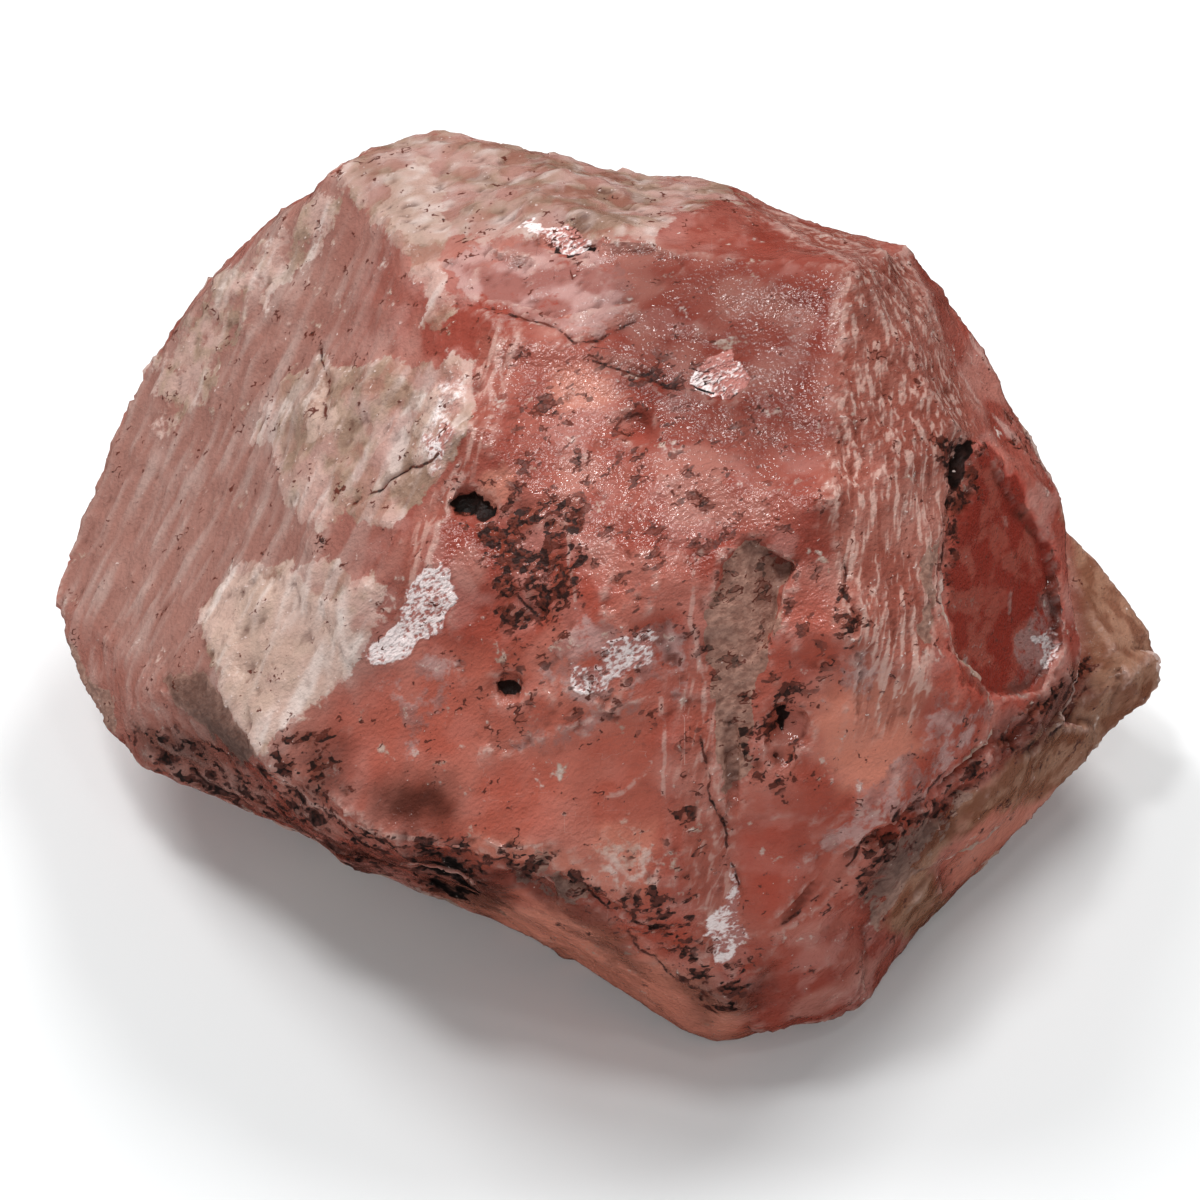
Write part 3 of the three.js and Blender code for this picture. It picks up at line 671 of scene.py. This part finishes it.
class Finish:
    """A material, built node by node."""

    def __init__(self, name):
        self.material = bpy.data.materials.new(name)
        self.material.use_nodes = True
        self.tree = self.material.node_tree
        self.tree.nodes.clear()

    def node(self, kind, settings=None, inputs=None, output=0):
        made = self.tree.nodes.new(kind)
        for key, value in (settings or {}).items():
            setattr(made, key, value)
        for key, value in (inputs or {}).items():
            if isinstance(value, Flow):
                self.tree.links.new(value.socket, made.inputs[key])
            else:
                made.inputs[key].default_value = value
        return Flow(self, made.outputs[output]) if made.outputs else None

    def mix(self, factor, first, second, blend="MIX"):
        settings = {"data_type": "RGBA", "blend_type": blend, "clamp_factor": True}
        return self.node("ShaderNodeMix", settings, {0: factor, 6: first, 7: second}, output=2)

    def mask(self, name):
        """One of the masks that the stone's own points carry."""
        return self.node("ShaderNodeAttribute", {"attribute_name": name}, output=2)

    def cloud(self, size, turn, detail, rough):
        """Noise with lumps of this size in mm along each axis, turned by this many degrees."""
        place = self.node("ShaderNodeTexCoord", output=3)
        settings = {"vector_type": "TEXTURE"}
        level = (math.pi / 2 - CAMERA_RISE, 0, 0)
        squared = self.node("ShaderNodeMapping", settings, {"Vector": place, "Rotation": level})
        inputs = {
            "Vector": squared,
            "Rotation": (0, 0, math.radians(turn)),
            "Scale": tuple(s * MM for s in size),
        }
        scaled = self.node("ShaderNodeMapping", settings, inputs)
        inputs = {"Vector": scaled, "Scale": 1.0, "Detail": detail, "Roughness": rough}
        return self.node("ShaderNodeTexNoise", None, inputs)


def beryl():
    finish = Finish("pink_beryl")
    mask, mix = finish.mask, finish.mix
    middle, veins, clump, streaks = mask("middle"), mask("veins"), mask("clump"), mask("streaks")
    fine = finish.cloud((0.45, 0.45, 0.45), 0, 2, 0.6)
    glint = finish.cloud((0.34, 0.2, 0.34), 35, 1, 0.5)
    ribs = finish.cloud((0.4, 4.4, 0.4), -12, 1, 0.62) * 0.65 + mask("ribs") * 0.35
    # Added to a patch's mask, this breaks up its outline.
    ragged = (middle - 0.5) * 0.9 + (fine - 0.5) * 0.9

    # The pink of the stone, from brick to rose, with paler veils.
    colour = mix(mask("broad").between(0.3, 0.7), BRICK, ROSE)
    colour = mix(middle.between(0.45, 0.7) * 0.5, colour, DARK_BRICK)
    colour = mix(veins.between(0.5, 0.75) * 0.5, colour, PALE_ROSE)
    colour = mix(mask("veil").between(0.5, 0.72) * 0.4, colour, VEIL)

    # The left flank is greyer, with soft pale streaks: striations, with painted sheen along them.
    flank = mask("flank")
    colour = mix(flank * 0.8, colour, FLANK)
    colour = mix(flank * streaks.between(0.4, 0.78) * 0.55, colour, FLANK_STREAK_AND_SHEEN)

    # The clear window is a deeper red. Painted glow: light that comes through the stone at the
    # lower edges is painted as salmon colour, with a few painted highlights.
    deep = mask("deep")
    colour = mix(deep * 0.9, colour, mix(middle.between(0.4, 0.65), WINDOW_DARK, WINDOW_LIGHT))
    colour = mix(mask("painted_glow") * 0.75, colour, PAINTED_GLOW_SALMON)
    # Painted glow: the lower half and the undercut are painted warmer and lighter for light that
    # comes through the stone.
    colour = mix(mask("painted_warm_glow") * 0.3, colour, PAINTED_WARM_GLOW_TINT)

    # The ribbed band.
    stripe = mask("stripe")
    colour = mix(stripe * 0.5, colour, BAND)
    colour = mix(stripe * ribs.between(0.5, 0.62) * 0.8, colour, BAND_LIGHT)
    colour = mix(stripe * (1 - ribs.between(0.36, 0.46)) * 0.5, colour, BAND_DARK)

    # Lilac bloom, the buff rim, pale skins, milky spots and the grey scar.
    lilac = (mask("lilac") + ragged).between(0.3, 0.6)
    colour = mix(lilac * 0.7, colour, mix(veins.between(0.4, 0.65), LILAC_DARK, LILAC_LIGHT))
    colour = mix(mask("rim") * 0.85, colour, mix(middle.between(0.35, 0.6), BUFF_DARK, BUFF_LIGHT))
    pale = (mask("pale") + ragged).between(0.3, 0.52)
    skin = mix(veins.between(0.3, 0.7), SKIN_DARK, SKIN_LIGHT)
    # The white streaks on the pale skins are partly painted highlights on their relief.
    skin = mix(streaks.between(0.48, 0.74) * 0.7, skin, SKIN_STREAK_AND_HIGHLIGHT)
    skin = mix((1 - veins.between(0.32, 0.42)) * 0.5, skin, SKIN_STAIN)
    thickness = 0.88 - (1 - middle.between(0.36, 0.6)) * 0.4
    colour = mix(pale * thickness, colour, skin)
    milk = (mask("milk") + ragged).between(0.3, 0.6)
    colour = mix(milk * 0.65, colour, mix(streaks.between(0.4, 0.75), MILK_DARK, MILK_LIGHT))
    grey = (mask("grey") + ragged * 0.5).between(0.45, 0.55)
    colour = mix(grey * 0.9, colour, mix(fine.between(0.35, 0.65), SCAR_DARK, SCAR_LIGHT))

    # Edges are paler, with rubbed wear and painted highlight, and healed seams are pale. Crevices
    # are darker, with brown dirt and painted shade.
    edge = mask("edge") * (fine.between(0.35, 0.6) * 0.7 + 0.3) * (1 - grey)
    colour = mix(edge * 0.5, colour, EDGE_WEAR_AND_HIGHLIGHT)
    wisp = (veins * 0.5 + fine * 0.5).between(0.42, 0.56)
    seam = (1 - (abs(mask("seam")) * 0.5).between(0.3, 1.0)) * wisp
    colour = mix(seam * 0.4, colour, HEALED)
    crevice = mask("crevice") * middle.between(0.3, 0.6)
    colour = mix(crevice * 0.6, colour, CREVICE_DIRT_AND_SHADE)
    # Dark brown smudges, with painted shadow under the sharp lower edge and painted shade on the
    # undercut.
    colour = mix(mask("smudge_and_shade") * 0.95, colour, SMUDGE_AND_SHADE_TINT)

    # Brown marks: short hooked dashes, thick where the dirt lies, specks between them, and cracks.
    dirt = mask("dirt")
    bend = finish.cloud((0.62, 0.36, 0.62), 25, 1, 0.3)
    gate = clump * 0.45 + fine * 0.55 + dirt * 0.17
    hook = (1 - abs(bend - 0.5).between(0.03, 0.08)) * gate.between(0.63, 0.66)
    speck = (bend * 0.6 + clump * 0.4 + dirt * 0.12).between(0.64, 0.67) * dirt.between(0.1, 0.5)
    stain = (clump + dirt * 0.2).between(0.6, 0.8)
    colour = mix(stain * dirt * 0.5, colour, STAIN)
    broken = (fine * 0.5 + middle * 0.5).between(0.44, 0.52)
    crack = (1 - (abs(mask("crack")) * 0.8).between(0.3, 1.0)) * broken
    grime = hook.most(speck).most(crack)
    colour = mix(grime * 0.92, colour, mix(fine.between(0.45, 0.55), GRIME_DARK, GRIME_LIGHT))
    # The small holes are painted near black.
    black = (mask("black") + ragged * 0.5).between(0.42, 0.58)
    colour = mix(black * 0.95, colour, BLACK)

    # Painted glints, painted shade on the top band, the upper right faces and the lower-left
    # undercut, and on top of all the frosted breaks, whose white flecks are partly painted glints.
    frosted = mask("frost_and_glints")
    frost_and_glints = (frosted + ragged * 0.6).between(0.36, 0.62)
    rough_places = edge + stripe + frost_and_glints + pale + crevice
    # Painted glints: tiny bright specks.
    spark = (glint * 0.7 + fine * 0.3 + rough_places * 0.04).between(0.71, 0.74)
    colour = mix(spark * (1 - grime) * 0.75, colour, PAINTED_GLINT)
    # Painted shade darkens the top band, the upper right faces and the lower-left undercut.
    colour = mix(mask("painted_shade"), colour, mix(1.0, colour, PAINTED_SHADE_TINT, "MULTIPLY"))
    colour = mix(1.0, colour, ALL_OVER, "MULTIPLY")
    # The white flecks of the frosted breaks are partly painted glints.
    snow = (glint * 0.4 + fine * 0.3 + veins * 0.3).between(0.45, 0.57)
    colour = mix(frost_and_glints * (1 - grime) * 0.95, colour, mix(snow, FROST_DARK, FROST_WHITE_AND_GLINT))

    # Stains, the black holes and the grey scar are matt and the rest is glassy. Only the window
    # lets light through.
    matt = grime.most(black).most(grey * 0.8)
    glassy = 0.22 + (middle - 0.5) * 0.3 + pale * 0.06 + grey * 0.15 - deep * 0.08
    height = fine * 0.55 + (frosted * 0.8 + 0.35) * glint
    bump = finish.node(
        "ShaderNodeBump", None, {"Strength": 0.9, "Distance": 0.22 * MM, "Height": height}
    )
    look = {
        "Base Color": colour,
        "Roughness": glassy * (1 - matt) + matt * 0.6,
        "Normal": bump,
        "IOR": BERYL_IOR,
    }
    cloudy = finish.node("ShaderNodeBsdfPrincipled", None, look)
    clear = finish.node("ShaderNodeBsdfPrincipled", None, {**look, "Transmission Weight": 0.5})
    window = deep.between(0.6, 1.0) * (1 - matt)
    shader = finish.node("ShaderNodeMixShader", None, {0: window, 1: cloudy, 2: clear})
    absorbed = {"Color": (0.8, 0.3, 0.2, 1), "Density": 60.0}
    inner = finish.node("ShaderNodeVolumeAbsorption", None, absorbed)
    finish.node("ShaderNodeOutputMaterial", None, {"Surface": shader, "Volume": inner})
    return finish.material


# ---- paper and lights ----

PAPER_HALF_SIDE = 1.6
PAPER_WHITE = (0.85, 0.865, 0.87, 1)
WORLD_LIGHT = 0.24

# Round lights: name, place in metres, width in metres, watts, whether the stone mirrors it.
LIGHTS = [
    ("right", (0.21, 0.31, 0.44), 0.24, 2.0, False),
    ("left", (-0.28, 0.27, 0.48), 0.24, 2.0, False),
    ("front", (0.0, -0.5, 0.45), 0.3, 0.8, False),
    ("spark", (-0.12, 0.05, 0.5), 0.08, 0.55, True),
    ("glint", (0.1, -0.1, 0.5), 0.04, 0.08, True),
]


def paper():
    finish = Finish("paper")
    look = {"Base Color": PAPER_WHITE, "Roughness": 0.9}
    shader = finish.node("ShaderNodeBsdfPrincipled", None, look)
    finish.node("ShaderNodeOutputMaterial", None, {"Surface": shader})
    return finish.material


def make_paper():
    bm = bmesh.new()
    bmesh.ops.create_grid(bm, x_segments=1, y_segments=1, size=PAPER_HALF_SIDE)
    mesh = bpy.data.meshes.new("paper")
    bm.to_mesh(mesh)
    bm.free()
    sheet = bpy.data.objects.new("paper", mesh)
    sheet.data.materials.append(paper())
    sheet.visible_glossy = False
    bpy.context.collection.objects.link(sheet)


def softbox(name, place, size, watts, mirrored):
    """A light that faces the stone. One that isn't mirrored gives no highlights."""
    data = bpy.data.lights.new(name, "AREA")
    data.shape = "DISK"
    data.size = size
    data.energy = watts
    lamp = bpy.data.objects.new(name, data)
    lamp.location = place
    lamp.rotation_euler = (-Vector(place)).to_track_quat("-Z", "Y").to_euler()
    lamp.visible_glossy = mirrored
    bpy.context.collection.objects.link(lamp)


def light_studio():
    world = bpy.data.worlds.new("studio")
    bpy.context.scene.world = world
    world.use_nodes = True
    world.cycles_visibility.glossy = False
    world.node_tree.nodes["Background"].inputs["Color"].default_value = (1, 1, 1, 1)
    world.node_tree.nodes["Background"].inputs["Strength"].default_value = WORLD_LIGHT
    for light in LIGHTS:
        softbox(*light)


place_camera()
stone = make_stone()
stone.data.materials.append(beryl())
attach(stone, "root")
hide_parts("morganite")
make_paper()
light_studio()
bpy.context.scene.view_settings.view_transform = "Standard"
